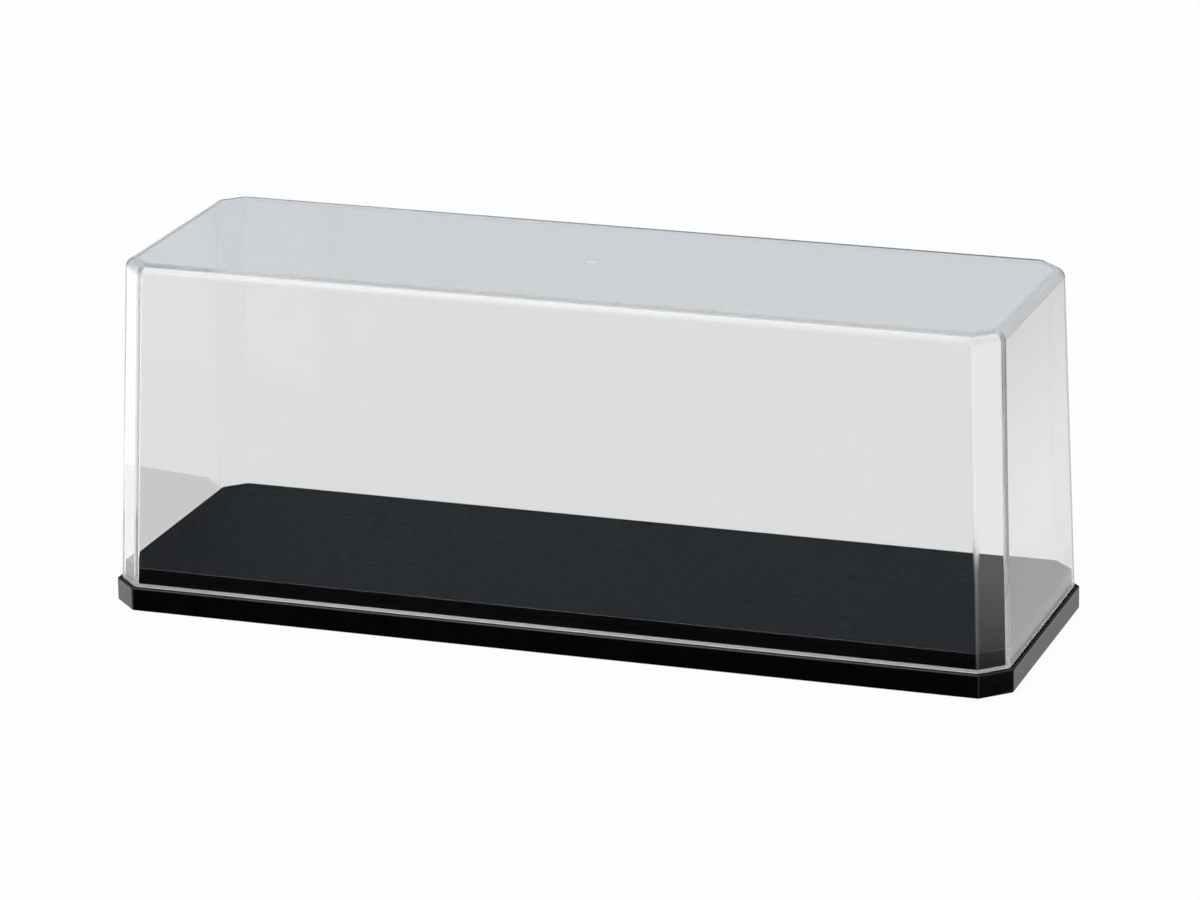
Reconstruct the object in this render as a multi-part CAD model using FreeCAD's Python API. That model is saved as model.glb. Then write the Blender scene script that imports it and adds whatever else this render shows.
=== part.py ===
"""Display case for a small model: a clear hood with cut corners that drops over the deck of a hollow base."""
import FreeCAD, Part
import math
import os
from collections import namedtuple

# All sizes are in millimetres and angles in degrees. The case is centred on the origin, stands on Z = 0,
# and is longest along X, with its front towards -Y.

# Plan of the base and the cut across each of its four corners
BASE_LENGTH = 240.0
BASE_DEPTH = 80.0
CORNER_CUT = 7.0

# Heights of the base: a low rim whose ledge carries the hood, and the deck that stands up inside the hood
RIM_HEIGHT = 6.2
DECK_RISE = 4.8

# Moulded walls of the base, hollow from below
BASE_WALL = 2.0
LEDGE_THICKNESS = 2.0
DECK_THICKNESS = 2.0

# Stiffening ribs across the hollow under the deck, which stop short of the table
RIB_COUNT = 3
RIB_THICKNESS = 1.4
RIB_TABLE_GAP = 1.0

# Edge rounds of the base
RIM_CORNER_ROUND = 1.0
RIM_TOP_ROUND = 0.5
RIM_FOOT_ROUND = 0.4
DECK_CORNER_ROUND = 0.8
DECK_TOP_ROUND = 0.4

# Hood, from its open foot on the ledge to the outside of its roof
HOOD_HEIGHT = 85.8
HOOD_WALL = 1.5
HOOD_ROOF = 1.8
DRAFT_ANGLE = 2.0
LEDGE_MARGIN = 1.1
FIT_CLEARANCE = 0.25
LEAD_IN_WIDTH = 0.75
LEAD_IN_HEIGHT = 0.6

# Edge rounds of the hood
HOOD_CORNER_ROUND = 2.0
HOOD_TOP_ROUND = 3.0
ROOM_CORNER_ROUND = 0.8
ROOM_TOP_ROUND = 1.5

# Dished mark of the mould's gate in the middle of the roof, with the domed stub of the sprue
GATE_DIAMETER = 5.0
GATE_DEPTH = 0.3
GATE_STUB_DIAMETER = 2.4
GATE_STUB_HEIGHT = 0.3

Plan = namedtuple("Plan", "half_x half_y cut")


def inset(plan, distance):
    """The plan with all eight of its sides moved inward by one distance."""
    cut = plan.cut - distance * (2.0 - math.sqrt(2.0))
    return Plan(plan.half_x - distance, plan.half_y - distance, cut)


def drawn_in(plan, rise):
    """The plan at a height above its foot: the walls lean inward and the corner cuts keep their legs."""
    lean = rise * math.tan(math.radians(DRAFT_ANGLE))
    return Plan(plan.half_x - lean, plan.half_y - lean, plan.cut)


def plan_wire(plan, height):
    """Closed outline of a rectangle with cut corners, at one height."""
    x, y, cut = plan
    quarter = [(x, y - cut), (x - cut, y)]
    half = quarter + [(-px, py) for px, py in reversed(quarter)]
    ring = half + [(-px, -py) for px, py in half]
    points = [FreeCAD.Vector(px, py, height) for px, py in ring]
    return Part.makePolygon(points + points[:1])


def block(foot, head, low, high):
    """Solid between two plans, with flat faces."""
    return Part.makeLoft([plan_wire(foot, low), plan_wire(head, high)], True, True)


def rounded(solid, corner_round, top_round, foot_round=None):
    """A block with its upright corner edges, its top edges and, if asked, its foot edges rounded together."""
    box = solid.BoundBox
    middle = (box.ZMin + box.ZMax) / 2.0
    edges = []
    for number, edge in enumerate(solid.Edges, 1):
        heights = [vertex.Z for vertex in edge.Vertexes]
        if min(heights) > middle:
            edges.append((number, top_round, top_round))
        elif max(heights) > middle:
            edges.append((number, corner_round, corner_round))
        elif foot_round is not None:
            edges.append((number, foot_round, foot_round))
    document = FreeCAD.newDocument()
    sharp = document.addObject("Part::Feature", "sharp")
    sharp.Shape = solid
    smooth = document.addObject("Part::Fillet", "smooth")
    smooth.Base = sharp
    smooth.Edges = edges
    document.recompute()
    result = smooth.Shape.Solids[0].copy()
    FreeCAD.closeDocument(document.Name)
    return result


BASE_PLAN = Plan(BASE_LENGTH / 2.0, BASE_DEPTH / 2.0, CORNER_CUT)
HOOD_FOOT = inset(BASE_PLAN, LEDGE_MARGIN)
ROOM_FOOT = inset(HOOD_FOOT, HOOD_WALL)
DECK_FOOT = inset(ROOM_FOOT, FIT_CLEARANCE)
DECK_TOP = RIM_HEIGHT + DECK_RISE
HOOD_TOP = RIM_HEIGHT + HOOD_HEIGHT


def rib_blanks():
    """Upright plates that divide the hollow of the base into even bays."""
    length = BASE_LENGTH - 2.0 * BASE_WALL
    plates = []
    for number in range(1, RIB_COUNT + 1):
        middle = length * (number / (RIB_COUNT + 1) - 0.5)
        corner = FreeCAD.Vector(middle - RIB_THICKNESS / 2.0, -BASE_DEPTH / 2.0, RIB_TABLE_GAP)
        plates.append(Part.makeBox(RIB_THICKNESS, BASE_DEPTH, DECK_TOP, corner))
    return plates


def make_base():
    """Black base: rim, ledge and raised deck in one moulding, hollow and ribbed below."""
    rim = block(BASE_PLAN, BASE_PLAN, 0.0, RIM_HEIGHT)
    rim = rounded(rim, RIM_CORNER_ROUND, RIM_TOP_ROUND, RIM_FOOT_ROUND)
    deck = block(DECK_FOOT, drawn_in(DECK_FOOT, DECK_RISE), RIM_HEIGHT, DECK_TOP)
    outside = rim.fuse(rounded(deck, DECK_CORNER_ROUND, DECK_TOP_ROUND))

    under_ledge = RIM_HEIGHT - LEDGE_THICKNESS
    under_deck = DECK_TOP - DECK_THICKNESS
    rim_plan = inset(BASE_PLAN, BASE_WALL)
    deck_plan = inset(DECK_FOOT, BASE_WALL)
    hollow = block(rim_plan, rim_plan, 0.0, under_ledge)
    foot = drawn_in(deck_plan, under_ledge - RIM_HEIGHT)
    head = drawn_in(deck_plan, under_deck - RIM_HEIGHT)
    hollow = hollow.fuse(block(foot, head, under_ledge, under_deck))
    return outside.cut(hollow.cut(rib_blanks())).removeSplitter()


def ball_radius(width, height):
    """Radius of the ball that a cap of this width and height is cut from."""
    return (width ** 2 / 4.0 + height ** 2) / (2.0 * height)


def gate_dish():
    """Ball that cuts a shallow dish of the gate's width and depth into the roof."""
    radius = ball_radius(GATE_DIAMETER, GATE_DEPTH)
    return Part.makeSphere(radius, FreeCAD.Vector(0.0, 0.0, HOOD_TOP - GATE_DEPTH + radius))


def gate_stub():
    """Trimmed stub of the sprue, domed, standing in the dish and rooted in the roof."""
    radius = ball_radius(GATE_STUB_DIAMETER, GATE_STUB_HEIGHT)
    top = HOOD_TOP - GATE_DEPTH + GATE_STUB_HEIGHT
    root = HOOD_TOP - HOOD_ROOF / 2.0
    core = Part.makeCylinder(GATE_STUB_DIAMETER / 2.0, top - root, FreeCAD.Vector(0.0, 0.0, root))
    return core.common(Part.makeSphere(radius, FreeCAD.Vector(0.0, 0.0, top - radius)))


def make_hood():
    """Clear hood: leaning walls and a flat roof, open below, with a lead-in round the inside of its foot."""
    outside = block(HOOD_FOOT, drawn_in(HOOD_FOOT, HOOD_HEIGHT), RIM_HEIGHT, HOOD_TOP)
    outside = rounded(outside, HOOD_CORNER_ROUND, HOOD_TOP_ROUND)
    room_height = HOOD_HEIGHT - HOOD_ROOF
    room = block(ROOM_FOOT, drawn_in(ROOM_FOOT, room_height), RIM_HEIGHT, RIM_HEIGHT + room_height)
    room = rounded(room, ROOM_CORNER_ROUND, ROOM_TOP_ROUND)
    lead_in_foot = inset(ROOM_FOOT, -LEAD_IN_WIDTH)
    lead_in = block(lead_in_foot, ROOM_FOOT, RIM_HEIGHT, RIM_HEIGHT + LEAD_IN_HEIGHT)
    return outside.cut([room, lead_in, gate_dish()]).fuse(gate_stub()).removeSplitter()


os.makedirs("parts", exist_ok=True)
for node, shape in {"base": make_base(), "clear_hood": make_hood()}.items():
    solid = shape.Solids[0]
    if len(shape.Solids) != 1 or not solid.isValid():
        raise ValueError(node + " is not one sound solid")
    solid.exportStep("parts/" + node + ".step")
    box = solid.optimalBoundingBox(False)
    size = " x ".join("%.2f" % span for span in (box.XLength, box.YLength, box.ZLength))
    print("%s: %s mm, %.1f cm3" % (node, size, solid.Volume / 1000.0))
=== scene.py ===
"""Display case: a clear hood with cut corners over a black base, on a plain pale floor in soft light."""
import math
from collections import namedtuple

import bmesh
import bpy
from mathutils import Matrix, Vector


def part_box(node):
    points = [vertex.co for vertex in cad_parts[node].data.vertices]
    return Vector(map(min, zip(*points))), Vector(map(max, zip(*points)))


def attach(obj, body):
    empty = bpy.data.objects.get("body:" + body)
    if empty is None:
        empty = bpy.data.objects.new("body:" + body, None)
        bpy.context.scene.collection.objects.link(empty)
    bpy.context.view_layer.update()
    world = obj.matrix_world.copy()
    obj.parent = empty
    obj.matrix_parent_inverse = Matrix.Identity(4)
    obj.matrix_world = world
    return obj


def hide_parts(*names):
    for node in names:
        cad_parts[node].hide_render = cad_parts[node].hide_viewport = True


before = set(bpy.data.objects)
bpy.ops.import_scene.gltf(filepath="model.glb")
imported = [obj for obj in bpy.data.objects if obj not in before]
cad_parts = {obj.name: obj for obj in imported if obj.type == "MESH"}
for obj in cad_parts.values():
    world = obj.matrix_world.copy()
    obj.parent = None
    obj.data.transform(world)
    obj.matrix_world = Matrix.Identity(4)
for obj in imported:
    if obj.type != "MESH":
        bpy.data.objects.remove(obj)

Plan = namedtuple("Plan", "half_x half_y cut")
Finish = namedtuple("Finish", "name roughness clarity")
Noise = namedtuple("Noise", "per_metre detail")

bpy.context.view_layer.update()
BASE_LOW, BASE_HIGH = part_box("base")
HOOD_LOW, HOOD_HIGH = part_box("clear_hood")

# Sizes are in metres and angles in radians. The plan is a rectangle with its four corners cut at 45 degrees.
MM = 0.001
EIGHTH_TURN = math.radians(45.0)
BASE_CUT = 7.0 * MM
CUT_SHARE = 2.0 - math.sqrt(2.0)
LEDGE_MARGIN = BASE_HIGH.x - HOOD_HIGH.x

# Hood: leaning walls, flat roof, rounded edges, and a lead-in round the inside of its foot
DRAFT = math.radians(2.0)
HOOD_WALL = 1.5 * MM
HOOD_ROOF = 1.8 * MM
HOOD_CORNER_ROUND = 2.0 * MM
HOOD_TOP_ROUND = 3.0 * MM
ROOM_CORNER_ROUND = 0.8 * MM
ROOM_TOP_ROUND = 1.5 * MM
LEAD_IN_WIDTH = 0.75 * MM
LEAD_IN_HEIGHT = 0.6 * MM
FOOT_LIFT = 0.03 * MM

# Mark of the mould's gate in the roof: a shallow dish and the stub of the sprue, pale where it broke off
GATE_DIAMETER = 5.0 * MM
GATE_DEPTH = 0.3 * MM
STUB_DIAMETER = 2.4 * MM
STUB_HEIGHT = 0.3 * MM
FROST_DIAMETER = 3.2 * MM

# Fineness of the hood's mesh
CORNER_STEPS = 6
ROUND_STEPS = 12
GATE_STEPS = 6
GATE_SIDES = 40
SHARP_ANGLE = math.radians(30.0)

# Finishes of the hood in the order of its material slots, each with how rough and how clear it is
FINISHES = (
    Finish("polished", 0.0, 1.0),
    Finish("soft_edges", 0.2, 1.0),
    Finish("matt_foot", 0.35, 1.0),
    Finish("frosted_gate", 0.5, 0.3),
)
POLISHED, SOFT_EDGES, MATT_FOOT, FROSTED_GATE = range(len(FINISHES))

# Slopes and turns of a face's normal that tell the hood's flat panels from its rounds
UPRIGHT_TILT = 0.07
LEVEL_TILT = 0.9995
PANEL_TURN = math.radians(1.0)

# Clear plastic: a few fine rub marks, and the faint waves of the moulding
CLEAR_COLOUR = (0.943, 0.947, 0.944, 1.0)
CLEAR_IOR = 1.59
RUBS = Noise(900.0, 4.0)
RUB_LEVELS = (0.62, 0.8)
RUB_ROUGHNESS = 0.04
WAVES = Noise(28.0, 1.0)
WAVE_HEIGHT = 0.01 * MM

# Black plastic: a slightly cloudy black, rippled where it is glossy and grained where it is satin or matt
BLACK_BY_CLOUD = [(0.35, (0.0014, 0.0015, 0.0018)), (0.65, (0.0024, 0.0026, 0.0030))]
CLOUDS = Noise(160.0, 3.0)
SPOT_LEVELS = (0.3, 0.7)
GLOSS_IOR = 1.46
GLOSS_SPOTS = Noise(500.0, 3.0)
GLOSS_ROUGHNESS = (0.10, 0.16)
RIPPLES = Noise(450.0, 1.0)
RIPPLE_HEIGHT = 0.003 * MM
SHEEN_TINT = (0.58, 0.74, 1.0, 1.0)
GRAINED_SPOTS = Noise(700.0, 3.0)
GRAINED_ROUGHNESS = (0.46, 0.54)
GRAIN = Noise(4200.0, 2.0)
GRAIN_HEIGHT = 0.01 * MM

# Finishes of the base in the order of its material slots, and how near to its level a flat face lies
GLOSS, SATIN_DECK, MATT_LEDGE = range(3)
DECK_SHEEN = 0.14
LEDGE_SHEEN = 0.03
FLATNESS = 0.01 * MM

# Limits between whole counts of a ray's reflections, and of its passes through the faces of clear walls
UNREFLECTED_BELOW = 0.5
GUIDED_ABOVE = 1.5
INSIDE_ABOVE = 3.5

# Painted light and shade of the floor as it shows in gloss, by the turn about a front corner of the base: 0
# is ahead and 1 is behind
LEFT_PAINTED_LIGHT_BY_TURN = [(0.13, 0.01), (0.25, 1.0), (0.7, 1.0), (1.0, 0.7)]
RIGHT_PAINTED_LIGHT_BY_TURN = [(0.02, 0.01), (0.07, 1.7), (0.22, 1.7), (0.34, 0.75)]

# How the painted light changes with the distance from that corner: brighter far to the left, and a painted
# shade close by on the right
LEFT_REACH = (0.013, 0.04)
LEFT_GAIN = (1.0, 1.5)
CLOSE_REACH = (0.01, 0.12)
CLOSE_PAINTED_SHADE_BY_TURN = [(0.1, 0.45), (0.18, 0.45), (0.26, 0.07)]

# Painted light beside the right end: the turns where it sets in, and its brightness by the distance as a
# share of a span
BESIDE_TURN = (0.66, 0.78)
BESIDE_SPAN = 0.2
BESIDE_PAINTED_LIGHT_BY_SHARE = [(0.021, 0.56), (0.024, 0.80), (0.20, 0.77), (0.25, 0.72), (0.36, 0.57), (0.46, 0.42)]

# Painted light on the floor for rays from inside the case, by how far back they land
INSIDE_REACH = (-0.02, 0.06)
INSIDE_PAINTED_LIGHT = (0.03, 0.8)

# Floor: white to the eye, apart from a share that keeps the shadow
FLOOR_HALF_WIDTH = 20.0
FLOOR_DROP = 0.1 * MM
FLOOR_COLOUR = (0.95, 0.95, 0.95, 1.0)
WHITE_SHARE = 0.95

# Painted shade on part of the floor, behind on the right, dim to rays guided along a clear wall
BEHIND_REACH = (0.0, 0.04)
FAR_RIGHT_REACH = (0.09, 0.13)
FAR_RIGHT_PAINTED_SHADE = (0.0, 0.95)

# Room round the case by the rise of a ray, dimmer to the right and bright overhead
WHITE = (1.0, 1.0, 1.0, 1.0)
ROOM_BY_RISE = [
    (0.00, (0.85, 0.87, 0.90)),
    (0.06, (0.42, 0.49, 0.57)),
    (0.15, (0.30, 0.37, 0.45)),
    (0.42, (0.30, 0.37, 0.45)),
    (0.62, (0.75, 0.78, 0.82)),
    (0.80, (1.00, 1.00, 1.00)),
]
RIGHTWARD_REACH = (0.05, 0.3)
RIGHTWARD_LIGHT = (1.0, 0.15)
OVERHEAD_REACH = (0.45, 0.65)
FADE_IN = (0.0, 1.0)

# Softbox overhead, with its power in watts
SOFTBOX_SIZE = 0.5
SOFTBOX_POWER = 2.0
SOFTBOX_PLACE = (-0.36, -0.42, 1.05)
SOFTBOX_AIM = (0.0, 0.0, 0.05)

# Camera at the photograph's viewing angle, with its sensor in millimetres
PHOTO_WIDTH = 1200
FOCAL_PIXELS = 5577.0
SENSOR_WIDTH = 36.0
CAMERA_YAW = 0.3327
CAMERA_PITCH = 0.3095
CAMERA_ROLL = -0.0123
CAMERA_DISTANCE = 1.4416
AIM_RIGHT = 0.00097
AIM_UP = 0.0397

# Turns of a light path, enough for those that run on inside the clear walls
LIGHT_BOUNCES = 160


# Objects

def new_object(name, data):
    """A new object in the scene."""
    made = bpy.data.objects.new(name, data)
    bpy.context.scene.collection.objects.link(made)
    return made


def mesh_object(name, mesh):
    """A new object in the scene, made of a finished mesh."""
    data = bpy.data.meshes.new(name)
    mesh.to_mesh(data)
    mesh.free()
    return new_object(name, data)


# Hood mesh

def inset(plan, distance):
    """The plan with all eight of its sides moved inward by one distance."""
    return Plan(plan.half_x - distance, plan.half_y - distance, plan.cut - distance * CUT_SHARE)


def leant(plan, rise):
    """The plan at a height above its foot: the walls lean inward and the corner cuts keep their legs."""
    lean = rise * math.tan(DRAFT)
    return Plan(plan.half_x - lean, plan.half_y - lean, plan.cut)


def ring(plan, corner_round, z):
    """Points round a plan at one height, with an arc at each of its eight corners."""
    x, y, cut = inset(plan, corner_round)
    quarter = [(x, y - cut), (x - cut, y)]
    half = quarter + [(-px, py) for px, py in reversed(quarter)]
    centres = half + [(-px, -py) for px, py in half]
    points = []
    for number, (px, py) in enumerate(centres):
        for step in range(CORNER_STEPS + 1):
            angle = EIGHTH_TURN * (number + step / CORNER_STEPS)
            points.append((px + corner_round * math.cos(angle), py + corner_round * math.sin(angle), z))
    return points


def skin_rings(foot, corner_round, foot_z, top_z, top_round):
    """Rings of one side of the hood's shell: its foot, its leaning wall and the round up to the roof."""
    centre_z = top_z - top_round
    centre_inset = (centre_z - foot_z) * math.tan(DRAFT) + top_round / math.cos(DRAFT)
    rings = [ring(foot, corner_round, foot_z)]
    for step in range(ROUND_STEPS + 1):
        tilt = DRAFT + (math.pi / 2.0 - DRAFT) * step / ROUND_STEPS
        rise = centre_z + top_round * math.sin(tilt) - foot_z
        beyond_wall = centre_inset - top_round * math.cos(tilt) - rise * math.tan(DRAFT)
        rings.append(ring(inset(leant(foot, rise), beyond_wall), corner_round, foot_z + rise))
    return rings


def ball_radius(width, height):
    """Radius of the ball that a cap of this width and height is cut from."""
    return (width ** 2 / 4.0 + height ** 2) / (2.0 * height)


def meeting_radius(dish, dome):
    """Radius of the ring where the domed stub meets the dish, from the radii of their balls."""
    apart = dish + dome - STUB_HEIGHT
    above_dome = (apart ** 2 + dome ** 2 - dish ** 2) / (2.0 * apart)
    return math.sqrt(dome ** 2 - above_dome ** 2)


def gate_rings(top_z):
    """Rings of the gate from the rim of its dish inward, then up over the domed stub."""
    dish_z = top_z - GATE_DEPTH
    dish = ball_radius(GATE_DIAMETER, GATE_DEPTH)
    dome = ball_radius(STUB_DIAMETER, STUB_HEIGHT)
    meeting = meeting_radius(dish, dome)
    profile = []
    for step in range(GATE_STEPS + 1):
        radius = GATE_DIAMETER / 2.0 + (meeting - GATE_DIAMETER / 2.0) * step / GATE_STEPS
        profile.append((radius, dish_z + dish - math.sqrt(dish ** 2 - radius ** 2)))
    for step in range(1, GATE_STEPS):
        radius = meeting * (1.0 - step / GATE_STEPS)
        profile.append((radius, dish_z + STUB_HEIGHT - dome + math.sqrt(dome ** 2 - radius ** 2)))
    turns = [2.0 * math.pi * side / GATE_SIDES for side in range(GATE_SIDES)]
    return [[(r * math.cos(a), r * math.sin(a), z) for a in turns] for r, z in profile]


def join_rings(mesh, rings):
    """Bands of quads between rings of equal count. Returns the vertices of each ring."""
    rows = [[mesh.verts.new(point) for point in points] for points in rings]
    for low, high in zip(rows, rows[1:]):
        for number in range(len(low)):
            after = (number + 1) % len(low)
            mesh.faces.new((low[number], low[after], high[after], high[number]))
    return rows


def ring_edges(mesh, row):
    """Edges between neighbours along one ring of vertices."""
    return [mesh.edges.get((a, b)) for a, b in zip(row, row[1:] + row[:1])]


def hood_mesh(foot_z, top_z):
    """One closed shell: outside, foot, lead-in and inside, with the gate's mark let into the roof."""
    outside = Plan(HOOD_HIGH.x, HOOD_HIGH.y, BASE_CUT - LEDGE_MARGIN * CUT_SHARE)
    room = inset(outside, HOOD_WALL)
    outer = skin_rings(outside, HOOD_CORNER_ROUND, foot_z, top_z, HOOD_TOP_ROUND)
    inner = skin_rings(room, ROOM_CORNER_ROUND, foot_z, top_z - HOOD_ROOF, ROOM_TOP_ROUND)
    inner[0] = ring(leant(room, LEAD_IN_HEIGHT), ROOM_CORNER_ROUND, foot_z + LEAD_IN_HEIGHT)
    lead_in = ring(inset(room, -LEAD_IN_WIDTH), HOOD_CORNER_ROUND, foot_z)
    mesh = bmesh.new()
    shell = join_rings(mesh, outer[::-1] + [lead_in] + inner)
    gate = join_rings(mesh, gate_rings(top_z))
    mesh.faces.new(shell[-1])
    mesh.faces.new(gate[-1])
    rims = ring_edges(mesh, shell[0]) + ring_edges(mesh, gate[0])
    bmesh.ops.triangle_fill(mesh, use_beauty=True, edges=rims)
    bmesh.ops.recalc_face_normals(mesh, faces=mesh.faces)
    return mesh


def finish_of(face, foot_z):
    """Slot of a face's finish: matt foot, frosted gate mark, polished flat panels or softer rounds."""
    middle = face.calc_center_median()
    if middle.z < foot_z + LEAD_IN_HEIGHT:
        return MATT_FOOT
    if middle.z > HOOD_HIGH.z - HOOD_ROOF / 2.0 and middle.xy.length < FROST_DIAMETER / 2.0:
        return FROSTED_GATE
    roof = abs(face.normal.z) > LEVEL_TILT
    upright = abs(face.normal.z) < UPRIGHT_TILT
    turn = math.atan2(face.normal.y, face.normal.x) % EIGHTH_TURN
    wall = upright and min(turn, EIGHTH_TURN - turn) < PANEL_TURN
    return POLISHED if wall or roof else SOFT_EDGES


def build_hood():
    """Clear hood, standing on the ledge of the base, with the finish of each face marked."""
    foot_z = HOOD_LOW.z + FOOT_LIFT
    mesh = hood_mesh(foot_z, HOOD_HIGH.z)
    for face in mesh.faces:
        face.smooth = True
        face.material_index = finish_of(face, foot_z)
    for edge in mesh.edges:
        edge.smooth = edge.calc_face_angle(0.0) < SHARP_ANGLE
    hood = mesh_object("hood_shell", mesh)
    normals = hood.modifiers.new("even_normals", "WEIGHTED_NORMAL")
    normals.keep_sharp = True
    return hood


# Shader nodes

def add_node(tree, kind, values=None, **settings):
    """A new node with its settings made, and each given input either set to a value or linked to a socket."""
    made = tree.nodes.new(kind)
    for name, value in settings.items():
        setattr(made, name, value)
    for name, value in (values or {}).items():
        if isinstance(value, bpy.types.NodeSocket):
            tree.links.new(value, made.inputs[name])
        else:
            made.inputs[name].default_value = value
    return made


def math_node(tree, operation, first, second):
    """Output of a sum on two values or sockets."""
    return add_node(tree, "ShaderNodeMath", {0: first, 1: second}, operation=operation).outputs[0]


def choice(tree, switch, off, on):
    """Output of one value where a switch is 0, and of another where it is 1."""
    change = math_node(tree, "MULTIPLY", switch, math_node(tree, "SUBTRACT", on, off))
    return math_node(tree, "ADD", off, change)


def ranged(tree, value, reach, results):
    """Output of a value moved from one range to another and kept inside it."""
    values = {"Value": value, "From Min": reach[0], "From Max": reach[1]}
    values.update({"To Min": results[0], "To Max": results[1]})
    return add_node(tree, "ShaderNodeMapRange", values).outputs["Result"]


def graded(tree, value, stops):
    """Output of a ramp through grey or coloured stops, each a place from 0 to 1 and what it shows there."""
    ramp = add_node(tree, "ShaderNodeValToRGB", {"Fac": value})
    elements = ramp.color_ramp.elements
    while len(elements) < len(stops):
        elements.new(1.0)
    for element, (position, colour) in zip(elements, stops):
        element.position = position
        element.color = (*colour, 1.0) if isinstance(colour, tuple) else (colour, colour, colour, 1.0)
    return ramp.outputs["Color"]


def noise(tree, place, kind):
    """Output of a soft noise, from 0 to 1."""
    values = {"Vector": place, "Scale": kind.per_metre, "Detail": kind.detail}
    return add_node(tree, "ShaderNodeTexNoise", values).outputs["Fac"]


def mix_shaders(tree, share, first, second, output):
    """Shows the second shader by its share, and the first for the rest."""
    mixed = add_node(tree, "ShaderNodeMixShader", {0: share, 1: first, 2: second})
    tree.links.new(mixed.outputs["Shader"], tree.nodes[output].inputs["Surface"])


# Plastics

def new_plastic(name):
    """A plain material, its nodes and shader, and the place of each point on the piece."""
    material = bpy.data.materials.new(name)
    material.use_nodes = True
    tree = material.node_tree
    place = add_node(tree, "ShaderNodeTexCoord").outputs["Object"]
    return material, tree, tree.nodes["Principled BSDF"], place


def roughen(tree, shader, pattern, levels, roughness):
    """Roughness that wanders from one value to another with a pattern."""
    tree.links.new(ranged(tree, pattern, levels, roughness), shader.inputs["Roughness"])


def emboss(tree, shader, pattern, height):
    """Fine relief that follows a pattern."""
    bump = add_node(tree, "ShaderNodeBump", {"Strength": 1.0, "Distance": height, "Height": pattern})
    tree.links.new(bump.outputs["Normal"], shader.inputs["Normal"])


def clear_plastic(finish):
    """Clear moulded polystyrene in one finish: faintly wavy, with a few fine rub marks."""
    material, tree, shader, place = new_plastic("clear_plastic_" + finish.name)
    shader.inputs["Base Color"].default_value = CLEAR_COLOUR
    shader.inputs["Transmission Weight"].default_value = finish.clarity
    shader.inputs["IOR"].default_value = CLEAR_IOR
    rubbed = (finish.roughness, finish.roughness + RUB_ROUGHNESS)
    roughen(tree, shader, noise(tree, place, RUBS), RUB_LEVELS, rubbed)
    emboss(tree, shader, noise(tree, place, WAVES), WAVE_HEIGHT)
    return material


def blacken(tree, shader, place):
    """Nearly even black, a little cloudy."""
    black = graded(tree, noise(tree, place, CLOUDS), BLACK_BY_CLOUD)
    tree.links.new(black, shader.inputs["Base Color"])


def gloss_black_plastic():
    """Black moulded polystyrene as polished in the mould, with a slight ripple."""
    material, tree, shader, place = new_plastic("gloss_black_plastic")
    blacken(tree, shader, place)
    shader.inputs["IOR"].default_value = GLOSS_IOR
    roughen(tree, shader, noise(tree, place, GLOSS_SPOTS), SPOT_LEVELS, GLOSS_ROUGHNESS)
    emboss(tree, shader, noise(tree, place, RIPPLES), RIPPLE_HEIGHT)
    return material


def grained_black_plastic(name, sheen):
    """The same plastic with the fine matt grain of the mould's flat faces, more or less rubbed to a sheen."""
    material, tree, shader, place = new_plastic(name)
    blacken(tree, shader, place)
    shader.inputs["Specular IOR Level"].default_value = sheen
    shader.inputs["Specular Tint"].default_value = SHEEN_TINT
    roughen(tree, shader, noise(tree, place, GRAINED_SPOTS), SPOT_LEVELS, GRAINED_ROUGHNESS)
    emboss(tree, shader, noise(tree, place, GRAIN), GRAIN_HEIGHT)
    return material


# Pieces

def dress_hood():
    """Puts the finished hood in the place of its plain solid."""
    hood = build_hood()
    for finish in FINISHES:
        hood.data.materials.append(clear_plastic(finish))
    hood.visible_shadow = False
    hood.visible_diffuse = False
    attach(hood, "hood")
    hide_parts("clear_hood")


def dress_base():
    """Gives the base its gloss, and its deck and ledge their grain."""
    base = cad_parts["base"]
    base.data.materials.clear()
    base.data.materials.append(gloss_black_plastic())
    base.data.materials.append(grained_black_plastic("satin_black_plastic", DECK_SHEEN))
    base.data.materials.append(grained_black_plastic("matt_black_plastic", LEDGE_SHEEN))
    for face in base.data.polygons:
        face.material_index = GLOSS
        if face.center.z > BASE_HIGH.z - FLATNESS:
            face.material_index = SATIN_DECK
        elif abs(face.center.z - HOOD_LOW.z) < FLATNESS:
            face.material_index = MATT_LEDGE


# Studio

def seen_straight(tree, light):
    """One for the camera's own rays and those that only passed through clear plastic, zero for the rest."""
    unreflected = math_node(tree, "LESS_THAN", light.outputs["Glossy Depth"], UNREFLECTED_BELOW)
    through = math_node(tree, "MULTIPLY", light.outputs["Is Transmission Ray"], unreflected)
    return math_node(tree, "MAXIMUM", light.outputs["Is Camera Ray"], through)


def guided_along(tree, light):
    """One for rays that ran on inside a clear wall, from side to side, before they left it."""
    side_to_side = math_node(tree, "GREATER_THAN", light.outputs["Glossy Depth"], GUIDED_ABOVE)
    return math_node(tree, "MULTIPLY", light.outputs["Is Transmission Ray"], side_to_side)


def painted_light_on_left(tree, turn, aside):
    """Painted light and shade of the floor on the left: dark ahead of the base and pale beside it, the more
    so further out.
    """
    gain = ranged(tree, aside, LEFT_REACH, LEFT_GAIN)
    return math_node(tree, "MULTIPLY", graded(tree, turn, LEFT_PAINTED_LIGHT_BY_TURN), gain)


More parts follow.
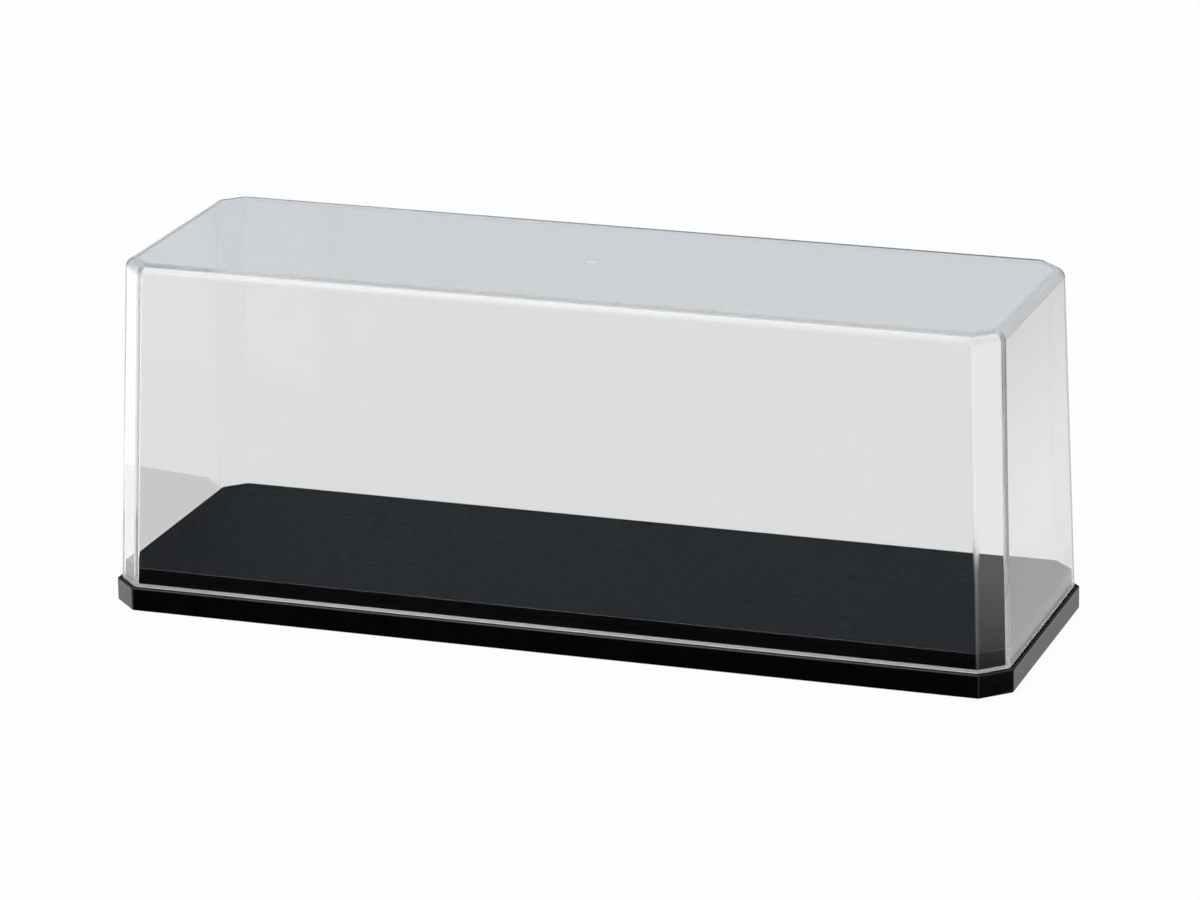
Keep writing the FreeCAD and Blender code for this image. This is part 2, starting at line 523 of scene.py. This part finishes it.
def painted_light_on_right(tree, turn, aside, ahead):
    """Painted light and shade of the floor on the right: pale ahead of the corner but a painted shade close
    to it, and softer beside the end.
    """
    away = math_node(tree, "MAXIMUM", aside, ahead)
    # Painted shade on the floor close to the right front corner of the base
    close = graded(tree, turn, CLOSE_PAINTED_SHADE_BY_TURN)
    gain = ranged(tree, away, CLOSE_REACH, (close, 1.0))
    in_front = math_node(tree, "MULTIPLY", graded(tree, turn, RIGHT_PAINTED_LIGHT_BY_TURN), gain)
    beyond_end = math_node(tree, "SUBTRACT", aside, BASE_CUT)
    beside = graded(tree, math_node(tree, "DIVIDE", beyond_end, BESIDE_SPAN), BESIDE_PAINTED_LIGHT_BY_SHARE)
    return choice(tree, ranged(tree, turn, BESIDE_TURN, FADE_IN), in_front, beside)


def painted_table_light(tree, spot, light):
    """Painted light and shade of the floor as it shows in gloss, on the left, on the right, and to rays from
    inside the case.
    """
    across = math_node(tree, "ABSOLUTE", spot.outputs["X"], 0.0)
    aside = math_node(tree, "MAXIMUM", math_node(tree, "SUBTRACT", across, BASE_HIGH.x - BASE_CUT), 0.0)
    ahead = math_node(tree, "SUBTRACT", BASE_LOW.y, spot.outputs["Y"])
    turn = math_node(tree, "DIVIDE", math_node(tree, "ARCTAN2", aside, ahead), math.pi)
    on_right = math_node(tree, "GREATER_THAN", spot.outputs["X"], 0.0)
    left = painted_light_on_left(tree, turn, aside)
    right = painted_light_on_right(tree, turn, aside, ahead)
    inside = ranged(tree, spot.outputs["Y"], INSIDE_REACH, INSIDE_PAINTED_LIGHT)
    from_inside = math_node(tree, "GREATER_THAN", light.outputs["Transmission Depth"], INSIDE_ABOVE)
    return choice(tree, from_inside, choice(tree, on_right, left, right), inside)


def floor_material():
    """Pale floor that reads as white, keeps a soft shadow, and shows in gloss a painted map of light and
    shade.
    """
    material = bpy.data.materials.new("pale_floor")
    material.use_nodes = True
    tree = material.node_tree
    tree.nodes.remove(tree.nodes["Principled BSDF"])
    light = add_node(tree, "ShaderNodeLightPath")
    place = add_node(tree, "ShaderNodeNewGeometry").outputs["Position"]
    spot = add_node(tree, "ShaderNodeSeparateXYZ", {"Vector": place})
    straight = seen_straight(tree, light)
    seen = math_node(tree, "MAXIMUM", straight, guided_along(tree, light))
    mirrored = math_node(tree, "SUBTRACT", light.outputs["Is Glossy Ray"], seen)
    # In gloss the floor glows with painted light and shade, which no lamp casts
    painted_table_glow = math_node(tree, "MULTIPLY", mirrored, painted_table_light(tree, spot, light))
    # Painted shade on the floor behind the right end, seen by rays guided along a clear wall
    behind = ranged(tree, spot.outputs["Y"], BEHIND_REACH, FADE_IN)
    rightward = ranged(tree, spot.outputs["X"], FAR_RIGHT_REACH, FAR_RIGHT_PAINTED_SHADE)
    painted_light_level = math_node(tree, "SUBTRACT", 1.0, math_node(tree, "MULTIPLY", behind, rightward))
    white = math_node(tree, "MAXIMUM", straight, math_node(tree, "MULTIPLY", seen, painted_light_level))
    strength = math_node(tree, "MAXIMUM", white, painted_table_glow)
    share = math_node(tree, "MAXIMUM", math_node(tree, "MULTIPLY", seen, WHITE_SHARE), mirrored)
    diffuse = add_node(tree, "ShaderNodeBsdfDiffuse", {"Color": FLOOR_COLOUR})
    glow = add_node(tree, "ShaderNodeEmission", {"Color": WHITE, "Strength": strength})
    mix_shaders(tree, share, diffuse.outputs["BSDF"], glow.outputs["Emission"], "Material Output")
    return material


def build_floor():
    """Wide plane just under the foot of the base."""
    mesh = bmesh.new()
    bmesh.ops.create_grid(mesh, x_segments=1, y_segments=1, size=FLOOR_HALF_WIDTH)
    floor = mesh_object("floor", mesh)
    floor.data.materials.append(floor_material())
    floor.location.z = -FLOOR_DROP


def build_world():
    """White behind the object, and round it a soft room: pale horizon, dim blue above, bright overhead."""
    world = bpy.data.worlds.new("studio")
    bpy.context.scene.world = world
    world.use_nodes = True
    tree = world.node_tree
    light = add_node(tree, "ShaderNodeLightPath")
    way = add_node(tree, "ShaderNodeTexCoord").outputs["Generated"]
    course = add_node(tree, "ShaderNodeSeparateXYZ", {"Vector": way})
    straight = seen_straight(tree, light)
    seen = math_node(tree, "MAXIMUM", straight, guided_along(tree, light))
    sides = ranged(tree, course.outputs["X"], RIGHTWARD_REACH, RIGHTWARD_LIGHT)
    overhead = ranged(tree, course.outputs["Z"], OVERHEAD_REACH, FADE_IN)
    white = tree.nodes["Background"]
    white.inputs["Color"].default_value = WHITE
    tree.links.new(math_node(tree, "MAXIMUM", straight, sides), white.inputs["Strength"])
    strength = math_node(tree, "MAXIMUM", sides, overhead)
    values = {"Color": graded(tree, course.outputs["Z"], ROOM_BY_RISE), "Strength": strength}
    room = add_node(tree, "ShaderNodeBackground", values)
    mix_shaders(tree, seen, room.outputs["Background"], white.outputs["Background"], "World Output")


def build_softbox():
    """Square softbox overhead, a little to the front and left."""
    lamp = bpy.data.lights.new("softbox", "AREA")
    lamp.shape = "SQUARE"
    lamp.size = SOFTBOX_SIZE
    lamp.energy = SOFTBOX_POWER
    softbox = new_object("softbox", lamp)
    softbox.location = SOFTBOX_PLACE
    aim = Vector(SOFTBOX_AIM) - softbox.location
    softbox.rotation_euler = aim.to_track_quat("-Z", "Y").to_euler()
    softbox.visible_camera = False


def build_camera():
    """Long lens, to the right of the front and a little above."""
    flat = math.cos(CAMERA_PITCH)
    forward = Vector((-math.sin(CAMERA_YAW) * flat, math.cos(CAMERA_YAW) * flat, -math.sin(CAMERA_PITCH)))
    level = Vector((math.cos(CAMERA_YAW), math.sin(CAMERA_YAW), 0.0))
    upright = level.cross(forward)
    right = level * math.cos(CAMERA_ROLL) + upright * math.sin(CAMERA_ROLL)
    up = upright * math.cos(CAMERA_ROLL) - level * math.sin(CAMERA_ROLL)
    lens = bpy.data.cameras.new("camera")
    lens.sensor_fit = "HORIZONTAL"
    lens.sensor_width = SENSOR_WIDTH
    lens.lens = FOCAL_PIXELS / PHOTO_WIDTH * SENSOR_WIDTH
    camera = new_object("camera", lens)
    camera.matrix_world = Matrix((right, up, -forward)).transposed().to_4x4()
    camera.location = right * AIM_RIGHT + up * AIM_UP - forward * CAMERA_DISTANCE
    bpy.context.scene.camera = camera


# Assembly

dress_hood()
dress_base()
build_floor()
build_world()
build_softbox()
build_camera()
bpy.context.scene.view_settings.view_transform = "Standard"
for limit in ("max_bounces", "glossy_bounces", "transmission_bounces"):
    setattr(bpy.context.scene.cycles, limit, LIGHT_BOUNCES)
